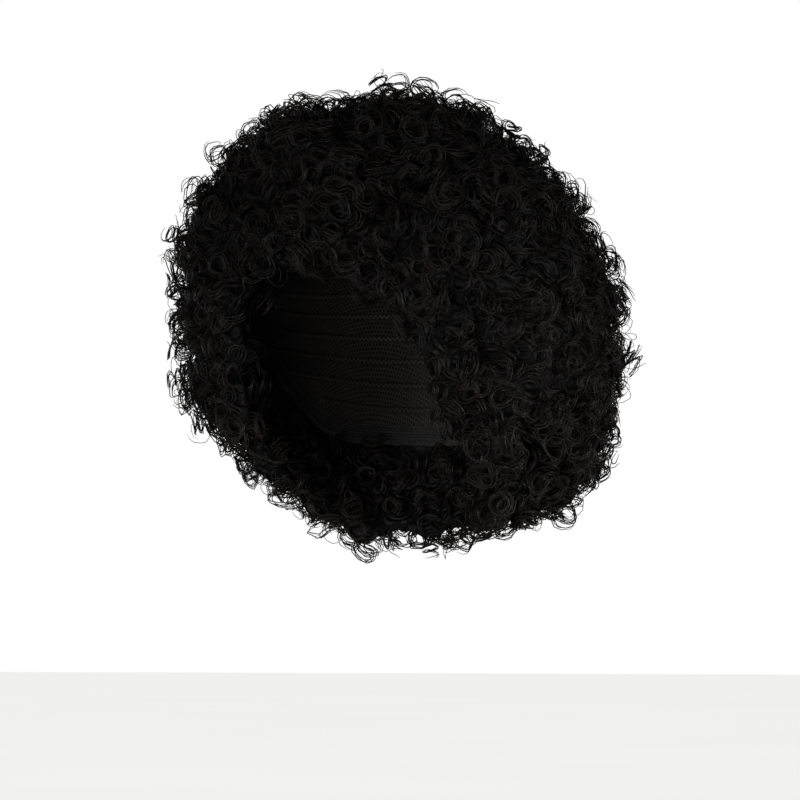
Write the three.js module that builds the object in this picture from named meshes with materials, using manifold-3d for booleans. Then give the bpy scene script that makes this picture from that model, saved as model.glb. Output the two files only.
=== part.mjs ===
// An afro wig: a stretch-net cap with an elastic band sewn inside its rim, and deep curly hair
// sewn on round it in five panels, the crown, the fringe, the two sides and the back.
// Millimetres, +Z up. The wearer faces -Y, with the left side of the head at +X.
// The origin is the inside of the cap at the crown, where the wig sits on the head.
import * as THREE from "three";
import { mergeVertices } from "three/addons/utils/BufferGeometryUtils.js";
import Module from "manifold-3d";

const wasm = await Module();
wasm.setup();

// The cap, measured on its inside, which is the surface of the head.
const headHalfBreadth = 77;
const headFront = 94; // from the head's axis to the forehead
const headBack = 100; // from the head's axis to the back of the head
const headDome = 105; // from the crown down to the widest level
const headSquareness = 2.25; // exponent of the head's horizontal outline, 2 being an ellipse
const sideTaper = 0.14; // how far the sides, front and back draw in, one dome below the widest level
const frontTaper = 0.1;
const backTaper = 0.35;
const capWall = 1.2;
const capDepth = 160; // crown to the rim at the nape
const bandWall = 1.2;
const bandHeight = 14;
const fit = 0.3; // gap between pieces that touch

// The hair, as it stands round the cap.
const hairWidth = 286;
const hairDepth = 298;
const hairRise = 56; // above the crown
const hairDrop = 218; // below the crown, at the nape
const hairSquareness = 2.1;
const edgeDrop = 212; // crown to the edge of the hair, at the nape
const edgeRoll = 42; // width of the rounded border round the opening
const edgeThickness = 9; // of the hair at the very edge

// The locks that make the lumpy outside of the hair.
const lockSpacing = 47;
const lockRadius = 29;
const lockProud = 15; // how far a lock stands out beyond its widest part
const lockRoot = 4; // how deep the backing lies below a lock's widest part
const lockBend = 9; // how far a lock's tip leans over
const lockSides = 6;

// The row of smaller locks along the edge of the hair.
const edgeLockSpacing = 31;
const edgeLockSize = 0.62; // of one of them, to a lock inside the row
const edgeLockInset = 7; // from the edge of the hair to the middle of a lock
const edgeRowWidth = 27; // from the edge to the nearest of the locks inside it

// The hair is sewn on in five panels: the crown, and below it four more round the head, each from
// one azimuth to the next, in degrees from the middle of the forehead.
const crownAngle = 52; // degrees from straight up that the crown reaches
const fringeAngle = 48;
const backAngle = 128;
const lowerPanels = [
  { name: "hair_fringe", from: -fringeAngle, to: fringeAngle },
  { name: "hair_left", from: fringeAngle, to: backAngle },
  { name: "hair_back", from: backAngle, to: 360 - backAngle },
  { name: "hair_right", from: 360 - backAngle, to: 360 - fringeAngle },
];

// The rim of the cap and the edge of the hair, by azimuth in degrees from the middle of the
// forehead: cap is a share of capDepth, hair a share of edgeDrop.
const openingEdge = [
  { azimuth: 0, cap: 0.28, hair: 0.255 },
  { azimuth: 12, cap: 0.29, hair: 0.265 },
  { azimuth: 24, cap: 0.325, hair: 0.295 },
  { azimuth: 34, cap: 0.375, hair: 0.335 },
  { azimuth: 42, cap: 0.45, hair: 0.4 },
  { azimuth: 48, cap: 0.56, hair: 0.5 },
  { azimuth: 54, cap: 0.68, hair: 0.615 },
  { azimuth: 63, cap: 0.74, hair: 0.7 },
  { azimuth: 76, cap: 0.68, hair: 0.77 },
  { azimuth: 95, cap: 0.75, hair: 0.85 },
  { azimuth: 114, cap: 0.9, hair: 0.925 },
  { azimuth: 135, cap: 0.98, hair: 0.98 },
  { azimuth: 180, cap: 1, hair: 1 },
];

// The outside of the hair, by level from its lowest point, 0, to its highest, 1: side is a share
// of half its width, reach and shift are shares of half its depth, shift being towards the back.
const hairSections = [
  { level: 0, side: 0.56, reach: 0.52, shift: 0.24 },
  { level: 0.04, side: 0.76, reach: 0.72, shift: 0.23 },
  { level: 0.12, side: 0.87, reach: 0.83, shift: 0.22 },
  { level: 0.28, side: 0.95, reach: 0.93, shift: 0.19 },
  { level: 0.45, side: 1, reach: 1, shift: 0.16 },
  { level: 0.63, side: 0.96, reach: 0.96, shift: 0.1 },
  { level: 0.8, side: 0.8, reach: 0.815, shift: 0.02 },
  { level: 0.9, side: 0.625, reach: 0.63, shift: -0.05 },
  { level: 0.96, side: 0.43, reach: 0.43, shift: -0.05 },
  { level: 1, side: 0.15, reach: 0.15, shift: -0.04 },
];

// A lock's outline: across is a share of its radius, along of its radius below its widest part,
// and of its height above.
const lockProfile = [
  { across: 0, along: -0.65 },
  { across: 0.95, along: -0.65 },
  { across: 1, along: 0 },
  { across: 0.76, along: 0.66 },
  { across: 0, along: 1 },
];

// How the locks differ: each measure of a lock goes up by its own step from one to the next, and
// starts again at the least when it has passed the most, so that no two neighbours are alike.
const lockVariety = {
  radius: { step: 0.755, least: 0.88, most: 1.12 },
  height: { step: 0.57, least: 0.8, most: 1.25 },
  lean: { step: 0.618, least: 0, most: 2 * Math.PI },
};

// How fine the faceted surfaces are.
const azimuthSteps = 24;
const capRings = 8;
const backingRings = 5;
const neckRings = 3;
const partingSides = 16;
const edgeSamples = 144;

const UP = new THREE.Vector3(0, 0, 1);
const rootCentre = new THREE.Vector3(0, 0, -0.9 * headDome); // the hair points away from here
const farAway = 2 * hairDepth; // well outside the wig
const quarterTurn = Math.PI / 2;
const goldenAngle = Math.PI * (3 - Math.sqrt(5));
const tinyTurn = 0.05; // radians between the points that the slope of a surface is taken from

// The value of one column of a table, between its rows, at a place in its first column.
function between(rows, key, place, column) {
  const next = rows.findIndex((row) => row[key] >= place);
  if (next < 0) return rows.at(-1)[column];
  if (next === 0) return rows[0][column];
  const [a, b] = [rows[next - 1], rows[next]];
  return THREE.MathUtils.mapLinear(place, a[key], b[key], a[column], b[column]);
}

// The radius of a rounded outline at an azimuth from the front, with its own reach each way.
function outlineRadius(azimuth, side, front, back, squareness) {
  const reach = Math.cos(azimuth) > 0 ? front : back;
  const across = Math.abs(Math.sin(azimuth) / side) ** squareness;
  const along = Math.abs(Math.cos(azimuth) / reach) ** squareness;
  return (across + along) ** (-1 / squareness);
}

// A point on the inside of the cap. Fall is the way down from the crown as an angle: a quarter
// turn is the widest level, and more than that draws in towards the neck.
function capPoint(fall, azimuth) {
  const below = Math.max(0, fall - quarterTurn);
  const drop = headDome * (below > 0 ? 1 + below : 1 - Math.cos(fall));
  const dome = Math.sin(Math.min(fall, quarterTurn));
  const radius = dome * outlineRadius(
    azimuth,
    headHalfBreadth * (1 - sideTaper * below ** 2),
    headFront * (1 - frontTaper * below ** 2),
    headBack * (1 - backTaper * below ** 2),
    headSquareness,
  );
  return new THREE.Vector3(radius * Math.sin(azimuth), -radius * Math.cos(azimuth), -drop);
}

const fallOfDrop = (drop) =>
  drop < headDome ? Math.acos(1 - drop / headDome) : quarterTurn + drop / headDome - 1;

// The azimuth folded to one side of the head, in degrees from the front.
function foldedDegrees(azimuth) {
  const turn = THREE.MathUtils.euclideanModulo(azimuth + Math.PI, 2 * Math.PI) - Math.PI;
  return THREE.MathUtils.radToDeg(Math.abs(turn));
}

const capFall = (azimuth) =>
  fallOfDrop(capDepth * between(openingEdge, "azimuth", foldedDegrees(azimuth), "cap"));
const hairFall = (azimuth) =>
  fallOfDrop(edgeDrop * between(openingEdge, "azimuth", foldedDegrees(azimuth), "hair"));
const lowestFall = fallOfDrop(hairDrop + lockRadius);

// A point moved away from the root centre by a distance.
function outward(point, distance) {
  const away = point.clone().sub(rootCentre);
  return point.clone().addScaledVector(away.normalize(), distance);
}

const azimuthOf = (direction) => Math.atan2(direction.x, -direction.y);

// Whether a point is inside the outside of the hair.
function insideHair(point) {
  const level = (point.z + hairDrop) / (hairRise + hairDrop);
  if (level < 0 || level > 1) return false;
  const side = 0.5 * hairWidth * between(hairSections, "level", level, "side");
  const reach = 0.5 * hairDepth * between(hairSections, "level", level, "reach");
  const shift = 0.5 * hairDepth * between(hairSections, "level", level, "shift");
  const across = Math.abs(point.x / side) ** hairSquareness;
  const along = Math.abs((point.y - shift) / reach) ** hairSquareness;
  return across + along < 1;
}

// Halves an interval until it closes on the place where a test stops holding.
function lastPlace(low, high, holds) {
  const halvings = 24;
  for (let i = 0; i < halvings; i++) {
    const middle = (low + high) / 2;
    if (holds(middle)) low = middle;
    else high = middle;
  }
  return low;
}

const hairRadius = (direction) =>
  lastPlace(0, farAway, (r) => insideHair(rootCentre.clone().addScaledVector(direction, r)));

// The directions from the root centre to the edge of the hair, all the way round.
const edgeDirections = Array.from({ length: edgeSamples }, (_, i) => {
  const azimuth = (2 * Math.PI * i) / edgeSamples;
  return capPoint(hairFall(azimuth), azimuth).sub(rootCentre).normalize();
});

// How far a direction is from the edge of the hair, measured on the head.
const edgeDistance = (direction) =>
  headFront * Math.min(...edgeDirections.map((edge) => edge.angleTo(direction)));

// The radius of the hair that backs the locks. It is rounded off towards the edge.
function backingRadius(direction, rootRadius) {
  const inwards = 1 - Math.min(1, edgeDistance(direction) / edgeRoll);
  const full = hairRadius(direction) - lockProud - lockRoot - rootRadius;
  return rootRadius + Math.max(edgeThickness, full * Math.sqrt(1 - inwards ** 2));
}

// A closed mesh as a solid.
function solidOf(geometry) {
  const bare = geometry.clone();
  bare.deleteAttribute("normal");
  bare.deleteAttribute("uv");
  const merged = mergeVertices(bare, 1e-4);
  const corners = [];
  const index = merged.index.array;
  for (let i = 0; i < index.length; i += 3) {
    const [a, b, c] = index.slice(i, i + 3);
    if (a !== b && b !== c && c !== a) corners.push(a, b, c);
  }
  return new wasm.Manifold(new wasm.Mesh({
    numProp: 3,
    vertProperties: new Float32Array(merged.attributes.position.array),
    triVerts: new Uint32Array(corners),
  }));
}

// A solid as a mesh's geometry.
function geometryOf(solid) {
  const mesh = solid.getMesh();
  const geometry = new THREE.BufferGeometry();
  geometry.setAttribute("position", new THREE.Float32BufferAttribute(mesh.vertProperties, 3));
  geometry.setIndex(new THREE.Uint32BufferAttribute(mesh.triVerts, 1));
  geometry.computeVertexNormals();
  return geometry;
}

// A closed wall round the head between two surfaces, over a stretch of the way from the crown,
// where fall gives the angle down at an azimuth and a share of the way. From the crown itself it
// is a dome, and otherwise a ring.
function wallGeometry({ from, to, rings, fall, inner, outer }) {
  const points = [];
  for (const surface of [outer, inner]) {
    for (let i = 0; i <= rings; i++) {
      const share = from + ((to - from) * i) / rings;
      for (let j = 0; j < azimuthSteps; j++) {
        const azimuth = (2 * Math.PI * j) / azimuthSteps;
        points.push(surface(capPoint(fall(azimuth, share), azimuth)));
      }
    }
  }
  const at = (side, i, j) => (side * (rings + 1) + i) * azimuthSteps + (j % azimuthSteps);
  const index = [];
  const quad = (a, b, c, d) => index.push(a, b, c, a, c, d);
  for (let j = 0; j < azimuthSteps; j++) {
    for (let i = 0; i < rings; i++) {
      quad(at(0, i, j), at(0, i + 1, j), at(0, i + 1, j + 1), at(0, i, j + 1));
      quad(at(1, i, j), at(1, i, j + 1), at(1, i + 1, j + 1), at(1, i + 1, j));
    }
    quad(at(0, rings, j), at(1, rings, j), at(1, rings, j + 1), at(0, rings, j + 1));
    if (from > 0) quad(at(1, 0, j), at(0, 0, j), at(0, 0, j + 1), at(1, 0, j + 1));
  }
  const geometry = new THREE.BufferGeometry().setFromPoints(points);
  geometry.setIndex(index);
  return geometry;
}

// The way down to each ring of the cap's facets: the last is its rim, and the one before it the
// upper edge of the band, so that the facets of the two lie alike.
function capRingFall(azimuth, ring) {
  const rim = capFall(azimuth);
  const bandTop = rim - bandHeight / headDome;
  return ring < capRings ? (bandTop * ring) / (capRings - 1) : rim;
}

// The net cap: a dome from the crown to its rim.
function capGeometry() {
  return wallGeometry({
    from: 0,
    to: capRings,
    rings: capRings,
    fall: capRingFall,
    inner: (point) => point,
    outer: (point) => outward(point, capWall),
  });
}

// The elastic band, sewn inside the rim of the cap.
function bandGeometry() {
  return wallGeometry({
    from: capRings - 1,
    to: capRings,
    rings: 1,
    fall: capRingFall,
    inner: (point) => outward(point, -fit - bandWall),
    outer: (point) => outward(point, -fit),
  });
}

// The way down to each ring of the head's facets: down to the rim they lie like the cap's, and
// below it they go on down the neck.
function headRingFall(azimuth, ring) {
  if (ring <= capRings) return capRingFall(azimuth, ring);
  return THREE.MathUtils.lerp(capFall(azimuth), lowestFall, (ring - capRings) / neckRings);
}

// The room that the head and the cap take, which the hair is kept out of.
function headSolid() {
  return solidOf(wallGeometry({
    from: 0,
    to: capRings + neckRings,
    rings: capRings + neckRings,
    fall: headRingFall,
    inner: (point) => new THREE.Vector3(0, 0, Math.min(point.z, rootCentre.z)),
    outer: (point) => outward(point, capWall + fit),
  }));
}

// The hair without its locks: a thick wall round the cap.
function backingSolid() {
  return solidOf(wallGeometry({
    from: 0,
    to: 1,
    rings: backingRings,
    fall: (azimuth, share) => share * hairFall(azimuth),
    inner: (point) => outward(point, capWall),
    outer: (point) => {
      const away = point.clone().sub(rootCentre);
      const root = away.length() + capWall;
      const direction = away.normalize();
      return rootCentre.clone().addScaledVector(direction, backingRadius(direction, root));
    },
  }));
}

// The space above a cone that opens upwards from the root centre, lowered by a gap.
function crownSpace(gap) {
  const halfAngle = THREE.MathUtils.degToRad(crownAngle);
  const cone = new THREE.ConeGeometry(farAway * Math.tan(halfAngle), farAway, partingSides);
  cone.rotateX(-quarterTurn);
  const tip = rootCentre.z - gap / Math.sin(halfAngle);
  cone.translate(0, 0, tip + farAway / 2);
  return solidOf(cone);
}

// An upright wedge of space between two azimuths, drawn in from both by half a gap.
function wedgeSpace(from, to) {
  const [start, end] = [THREE.MathUtils.degToRad(from), THREE.MathUtils.degToRad(to)];
  const [middle, half] = [(start + end) / 2, (end - start) / 2];
  const inset = fit / 2 / Math.sin(half);
  const corner = (azimuth, reach) => new THREE.Vector2(
    inset * Math.sin(middle) + reach * Math.sin(azimuth),
    -inset * Math.cos(middle) - reach * Math.cos(azimuth),
  );
  const wedge = new THREE.Shape([
    corner(middle, 0),
    corner(start, farAway),
    corner(middle, farAway),
    corner(end, farAway),
  ]);
  const space = new THREE.ExtrudeGeometry(wedge, { depth: 2 * farAway, bevelEnabled: false });
  return solidOf(space.translate(0, 0, -farAway));
}

// The place of a lock's widest part, over the backing in a direction from the root centre.
function lockPlace(direction) {
  const azimuth = azimuthOf(direction);
  const fall = lastPlace(0, lowestFall, (trial) =>
    capPoint(trial, azimuth).sub(rootCentre).angleTo(UP) < direction.angleTo(UP));
  const root = capPoint(fall, azimuth).distanceTo(rootCentre) + capWall;
  return rootCentre.clone().addScaledVector(direction, backingRadius(direction, root));
}

// The way that the backing faces there.
function lockFacing(direction) {
  const beside = new THREE.Vector3(-direction.y, direction.x, 0).normalize();
  const below = new THREE.Vector3().crossVectors(beside, direction);
  const slope = (way) => {
    const next = direction.clone().addScaledVector(way, tinyTurn).normalize();
    return lockPlace(next).sub(lockPlace(direction));
  };
  const facing = slope(beside).cross(slope(below)).normalize();
  return facing.dot(direction) < 0 ? facing.negate() : facing;
}

// One lock, a blunt bud that stands on the backing and leans over at its tip. Its number says
// how it differs from the others.
function lockSolid(direction, size, number) {
  const varied = ({ step, least, most }) => THREE.MathUtils.lerp(least, most, (number * step) % 1);
  const radius = size * lockRadius * varied(lockVariety.radius);
  const height = size * lockProud * varied(lockVariety.height);
  const lean = varied(lockVariety.lean);
  const profile = lockProfile.map(({ across, along }) =>
    new THREE.Vector2(across * radius, along * (along > 0 ? height : radius)));
  const geometry = new THREE.LatheGeometry(profile, lockSides).rotateX(quarterTurn);
  const position = geometry.attributes.position;
  for (let i = 0; i < position.count; i++) {
    const bend = size * lockBend * Math.max(0, position.getZ(i) / height) ** 2;
    position.setX(i, position.getX(i) + bend * Math.cos(lean));
    position.setY(i, position.getY(i) + bend * Math.sin(lean));
  }
  const facing = lockFacing(direction);
  const place = lockPlace(direction).addScaledVector(facing, size * lockRoot);
  geometry.applyQuaternion(new THREE.Quaternion().setFromUnitVectors(UP, facing));
  geometry.translate(place.x, place.y, place.z);
  return solidOf(geometry);
}

// The directions of the locks in the edge row, spaced evenly along the edge of the hair and set
// in from it.
function edgeRowDirections() {
  const after = (i) => edgeDirections[(i + 1) % edgeSamples];
  const turns = edgeDirections.map((edge, i) => edge.angleTo(after(i)));
  const length = headFront * turns.reduce((sum, turn) => sum + turn, 0);
  const spacing = length / Math.round(length / edgeLockSpacing);
  const row = [];
  let walked = 0;
  edgeDirections.forEach((edge, i) => {
    const start = walked;
    walked += headFront * turns[i];
    if (Math.floor(walked / spacing) === Math.floor(start / spacing)) return;
    const along = after(i).clone().sub(edge).normalize();
    const inwards = edge.clone().cross(along);
    row.push(edge.clone().addScaledVector(inwards, edgeLockInset / headFront).normalize());
  });
  return row;
}

// The directions of the locks inside the edge row, spread evenly by turning through the golden
// angle from one to the next.
function innerDirections() {
  const ballArea = Math.PI * hairWidth ** 2;
  const lockArea = lockSpacing ** 2 * Math.sin(Math.PI / 3);
  const count = Math.round(ballArea / lockArea);
  return Array.from({ length: count }, (_, i) => {
    const height = 1 - (2 * i + 1) / count;
    const level = Math.sqrt(1 - height ** 2);
    const turn = i * goldenAngle;
    return new THREE.Vector3(level * Math.sin(turn), -level * Math.cos(turn), height);
  }).filter((direction) => {
    const azimuth = azimuthOf(direction);
    const edge = capPoint(hairFall(azimuth), azimuth).sub(rootCentre);
    return direction.angleTo(UP) < edge.angleTo(UP) && edgeDistance(direction) > edgeRowWidth;
  });
}

// The largest body of a solid, without the crumbs that a cut leaves.
const largestBody = (solid) => solid.decompose().reduce((a, b) => (a.volume() > b.volume() ? a : b));

// The hair as its five panels.
function hairSolids() {
  const locks = [
    ...innerDirections().map((direction, i) => lockSolid(direction, 1, i)),
    ...edgeRowDirections().map((direction, i) => lockSolid(direction, edgeLockSize, i)),
  ];
  const hair = wasm.Manifold.union([backingSolid(), ...locks]).subtract(headSolid());
  const lower = hair.subtract(crownSpace(fit));
  return [
    { name: "hair_crown", solid: largestBody(hair.intersect(crownSpace(0))) },
    ...lowerPanels.map(({ name, from, to }) =>
      ({ name, solid: largestBody(lower.intersect(wedgeSpace(from, to))) })),
  ];
}

const hairMaterial = new THREE.MeshStandardMaterial({ color: 0x0f0c0b, roughness: 0.5 });
const netMaterial = new THREE.MeshStandardMaterial({ color: 0x121110, roughness: 0.85 });
const elasticMaterial = new THREE.MeshStandardMaterial({ color: 0x0b0b0c, roughness: 0.7 });

const wig = new THREE.Group();

function addPiece(name, geometry, material) {
  const mesh = new THREE.Mesh(geometry, material);
  mesh.name = name;
  wig.add(mesh);
}

addPiece("cap", capGeometry(), netMaterial);
addPiece("cap_band", bandGeometry(), elasticMaterial);
for (const { name, solid } of hairSolids()) addPiece(name, geometryOf(solid), hairMaterial);

export default wig;
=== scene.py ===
# %% [markdown]
# # An afro wig, from the cap outwards
# A costume afro is thousands of short locks of synthetic fibre, set in tight coils and sewn in
# rows on a stretch-net cap. What the eye reads is not single hairs but rings: each lock is a
# bundle of fibres that winds round itself. So this file builds the wig as it is made. A dark
# mass of under-hair gives the outline its lumps, thousands of coiled locks are planted on it by
# Geometry Nodes, a thin frizz stands off the outside, and the cap and its elastic band are
# dressed inside, where the open front shows them.
# %% The frame
import math

import bmesh
import bpy
import numpy as np
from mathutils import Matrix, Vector, noise
from mathutils.bvhtree import BVHTree


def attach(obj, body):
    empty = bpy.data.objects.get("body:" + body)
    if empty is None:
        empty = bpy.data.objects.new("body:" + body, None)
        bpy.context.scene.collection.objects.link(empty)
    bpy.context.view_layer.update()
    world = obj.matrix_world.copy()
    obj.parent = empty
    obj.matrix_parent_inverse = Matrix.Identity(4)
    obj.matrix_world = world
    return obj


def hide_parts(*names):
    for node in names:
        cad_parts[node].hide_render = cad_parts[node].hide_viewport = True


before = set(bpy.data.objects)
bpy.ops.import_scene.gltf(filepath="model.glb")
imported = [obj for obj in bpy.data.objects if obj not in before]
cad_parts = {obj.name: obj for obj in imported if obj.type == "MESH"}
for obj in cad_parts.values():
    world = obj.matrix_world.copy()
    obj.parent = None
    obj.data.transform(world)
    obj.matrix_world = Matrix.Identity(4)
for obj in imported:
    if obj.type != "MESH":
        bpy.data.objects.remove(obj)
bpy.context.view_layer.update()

MM = 0.001

# %% [markdown]
# ## The camera
# The photograph was taken from a little to the left of straight ahead and slightly below, from
# about the wig's height, with a long lens that keeps near parts from swelling. The camera is
# placed by those two angles and by how much of the world its frame takes in at the wig, which is
# easier to reason about than a position and a focal length.
# %% Camera
PHOTO_AZIMUTH = math.radians(28)
PHOTO_ELEVATION = math.radians(-5)
CAMERA_DISTANCE = 1.8
FRAME_WIDTH = 0.496  # what the photograph spans at the wig
AIM_BESIDE = 0.0118  # the middle of the photograph, to the right of the head's axis
AIM_DROP = 0.136  # and below the crown

right_of_view = Vector((math.cos(PHOTO_AZIMUTH), math.sin(PHOTO_AZIMUTH), 0))
towards_camera = Vector((
    math.sin(PHOTO_AZIMUTH) * math.cos(PHOTO_ELEVATION),
    -math.cos(PHOTO_AZIMUTH) * math.cos(PHOTO_ELEVATION),
    math.sin(PHOTO_ELEVATION),
))
aim = right_of_view * AIM_BESIDE + Vector((0, 0, -AIM_DROP))
camera = bpy.data.objects.new("camera", bpy.data.cameras.new("camera"))
bpy.context.scene.collection.objects.link(camera)
camera.location = aim + towards_camera * CAMERA_DISTANCE
camera.rotation_euler = towards_camera.to_track_quat("Z", "Y").to_euler()
camera.data.lens = camera.data.sensor_width * CAMERA_DISTANCE / FRAME_WIDTH
bpy.context.scene.camera = camera
print(f"camera lens {camera.data.lens:.0f} mm, height {camera.location.z:.2f} m")

# %% [markdown]
# ## The studio
# Black fibre only shows by what it reflects, so the light matters more than the colour. Bare
# lamps would give every strand a hard white glint, and light from all round would wash the coils
# flat. So soft boxes are used. Three stand in front, at about the height of the wig or lower: one
# at the left of the camera, one far round to the right and a weak one low down. Their beams are
# narrow and aimed a little below the wig's middle, so that they lay a faint sheen over each coil
# and leave the top and the hollows dark. Two wide ones behind show the back and the far side.
#
# In a studio the white backdrop has lamps of its own, and little of its light comes back to what
# stands in front of it. Here the backdrop is the world, which is white to the camera and dim to
# everything else, and a lamp of its own washes the floor. The floor lies far below, because the
# wig is held up as if a head wore it.
# %% Colours, nodes and meshes
def linear(hex_colour):
    """An sRGB hex colour as the linear colour that a shader takes."""
    channels = [int(hex_colour[i : i + 2], 16) / 255 for i in (1, 3, 5)]
    return [c / 12.92 if c <= 0.04045 else ((c + 0.055) / 1.055) ** 2.4 for c in channels] + [1]


def add_node(tree, kind, settings=None, **sockets):
    """A node with its settings. Its inputs are given by name, or as i0, i1: a value or a link."""
    node = tree.nodes.new(kind)
    for name, value in (settings or {}).items():
        setattr(node, name, value)
    for name, value in sockets.items():
        if name[0] == "i" and name[1:].isdigit():
            socket = node.inputs[int(name[1:])]
        else:
            wanted = name.replace("_", " ")
            socket = next(s for s in node.inputs if s.enabled and s.name == wanted)
        if isinstance(value, bpy.types.NodeSocket):
            tree.links.new(value, socket)
        else:
            socket.default_value = value
    return node


def new_material(name):
    """An empty material, its node tree and its Principled shader."""
    material = bpy.data.materials.new(name)
    material.use_nodes = True
    tree = material.node_tree
    return material, tree, tree.nodes["Principled BSDF"]


def mesh_object(name, points, faces, material=None):
    """A smooth mesh object in the scene, made of points and faces."""
    mesh = bpy.data.meshes.new(name)
    mesh.from_pydata([tuple(p) for p in points], [], [tuple(f) for f in faces])
    mesh.polygons.foreach_set("use_smooth", [True] * len(mesh.polygons))
    if material:
        mesh.materials.append(material)
    made = bpy.data.objects.new(name, mesh)
    bpy.context.scene.collection.objects.link(made)
    return made


# %% Floor, backdrop and lights
FLOOR_HEIGHT = -0.75
FLOOR_REACH = 60
FLOOR_WASH = 3.05
BACKDROP_LIGHT = 0.04  # what the backdrop gives the wig, against what the camera sees of it
NARROW, WIDE = 24, 180  # the spread of a soft box's beam in degrees, with and without a grid on it
# azimuth and elevation in degrees, distance, size and drop in metres, power in watts
SOFT_BOXES = {
    "key": {"turn": 345, "rise": 2, "away": 2.0, "size": 0.6, "power": 0.53, "beam": NARROW, "drop": 0.2},
    "fill": {"turn": 84, "rise": 0, "away": 2.2, "size": 0.6, "power": 1.1, "beam": NARROW, "drop": 0.2},
    "low_front": {
        "turn": 12, "rise": -14, "away": 2.0, "size": 0.5, "power": 0.32, "beam": NARROW, "drop": 0.15,
    },
    "back": {"turn": 205, "rise": 15, "away": 2.2, "size": 1.2, "power": 34, "beam": WIDE, "drop": 0},
    "far_side": {"turn": 240, "rise": 8, "away": 2.2, "size": 1.0, "power": 7, "beam": WIDE, "drop": 0},
}


def soft_box(name, box):
    """A square soft box that shines on the wig, its beam aimed a drop below the middle."""
    lamp = bpy.data.lights.new(name, "AREA")
    lamp.size = box["size"]
    lamp.energy = box["power"]
    lamp.spread = math.radians(box["beam"])
    made = bpy.data.objects.new(name, lamp)
    bpy.context.scene.collection.objects.link(made)
    a, e = math.radians(box["turn"]), math.radians(box["rise"])
    away = Vector((math.sin(a) * math.cos(e), -math.cos(a) * math.cos(e), math.sin(e)))
    made.location = aim + away * box["away"] - Vector((0, 0, box["drop"]))
    made.rotation_euler = away.to_track_quat("Z", "Y").to_euler()
    made.visible_camera = False


paper, paper_tree, paper_shader = new_material("white_studio_paper")
pulp = add_node(paper_tree, "ShaderNodeTexNoise", Scale=60.0, Detail=3.0)
shade = add_node(paper_tree, "ShaderNodeValToRGB", Fac=pulp.outputs["Fac"])
shade.color_ramp.elements[0].color = linear("#f3f3f1")
shade.color_ramp.elements[1].color = linear("#f8f8f6")
paper_tree.links.new(shade.outputs["Color"], paper_shader.inputs["Base Color"])
paper_shader.inputs["Roughness"].default_value = 0.9
corners = [(-1, -1), (1, -1), (1, 1), (-1, 1)]
floor_points = [(x * FLOOR_REACH, y * FLOOR_REACH, FLOOR_HEIGHT) for x, y in corners]
floor = mesh_object("floor", floor_points, [(0, 1, 2, 3)], paper)
floor.visible_diffuse = False
floor.visible_glossy = False

wash = bpy.data.objects.new("floor_wash", bpy.data.lights.new("floor_wash", "SUN"))
wash.data.energy = FLOOR_WASH
wash.data.angle = math.radians(40)
bpy.context.scene.collection.objects.link(wash)
wash.light_linking.receiver_collection = bpy.data.collections.new("lit_by_the_wash")
wash.light_linking.receiver_collection.objects.link(floor)

world = bpy.data.worlds.new("studio")
bpy.context.scene.world = world
world.use_nodes = True
sky = world.node_tree
seen = add_node(sky, "ShaderNodeLightPath").outputs["Is Camera Ray"]
strength = add_node(sky, "ShaderNodeMapRange", Value=seen, To_Min=BACKDROP_LIGHT, To_Max=1.0)
sky.nodes["Background"].inputs["Color"].default_value = linear("#ffffff")
sky.links.new(strength.outputs["Result"], sky.nodes["Background"].inputs["Strength"])
bpy.context.scene.view_settings.view_transform = "Standard"

for name, box in SOFT_BOXES.items():
    soft_box(name, box)
print("studio: floor at", FLOOR_HEIGHT, "m and", len(SOFT_BOXES), "soft boxes")

# %% [markdown]
# ## Measuring the hair
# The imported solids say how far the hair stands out. Rather than copy their facets, the outline is
# measured: rays are sent along a fan of directions from the root centre, in the middle of the
# head, and the first and last hair that they meet are kept as two grids of distances, one row for
# each angle down from straight up and one column for each azimuth. A grid can be smoothed, and a
# smooth outline can be given lumps of its own, which a faceted mesh can't.
# %% Ray grids
ROOT = Vector((0, 0, -0.0945))  # the hair points away from here
HAIR_NODES = ["hair_crown", "hair_fringe", "hair_left", "hair_back", "hair_right"]
FALL_STEP = math.radians(1.5)
TURN_STEP = math.radians(3)
FALLS = np.arange(0, math.radians(165), FALL_STEP)
TURNS = np.arange(0, 2 * math.pi - TURN_STEP / 2, TURN_STEP)
FAR = 0.4
NUDGE = math.radians(0.4)  # off the partings, which lie at whole degrees and let a ray slip through


def direction(fall, turn):
    """A unit vector, fall radians down from straight up and turn radians round from the front."""
    return Vector((math.sin(fall) * math.sin(turn), -math.sin(fall) * math.cos(turn), math.cos(fall)))


def surface_tree(node_names):
    """One search tree over the faces of several CAD nodes."""
    points, faces = [], []
    for name in node_names:
        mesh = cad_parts[name].data
        start = len(points)
        points += [v.co.copy() for v in mesh.vertices]
        faces += [[start + i for i in p.vertices] for p in mesh.polygons]
    return BVHTree.FromPolygons(points, faces)


def wall_along(tree, fall, turn):
    """Where a ray from the root centre first and last meets a surface, or None twice."""
    ray = direction(fall, turn + NUDGE)
    inner = tree.ray_cast(ROOT, ray, FAR)[3]
    outer = tree.ray_cast(ROOT + ray * FAR, -ray, FAR)[3]
    return (inner, FAR - outer) if inner and outer else (None, None)


def ray_grids(tree):
    """The first and the last distance at which each ray meets a surface, as two grids."""
    walls = [[wall_along(tree, fall, turn) for turn in TURNS] for fall in FALLS]
    grids = np.array(walls, dtype=float)
    return grids[:, :, 0], grids[:, :, 1]


hair_tree = surface_tree(HAIR_NODES)
cap_tree = surface_tree(["cap"])
band_tree = surface_tree(["cap_band"])
hair_near, hair_far = ray_grids(hair_tree)
cap_near, cap_far = ray_grids(cap_tree)
print(f"hair stands {np.nanmin(hair_far) / MM:.0f} to {np.nanmax(hair_far) / MM:.0f} mm from its centre")

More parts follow.
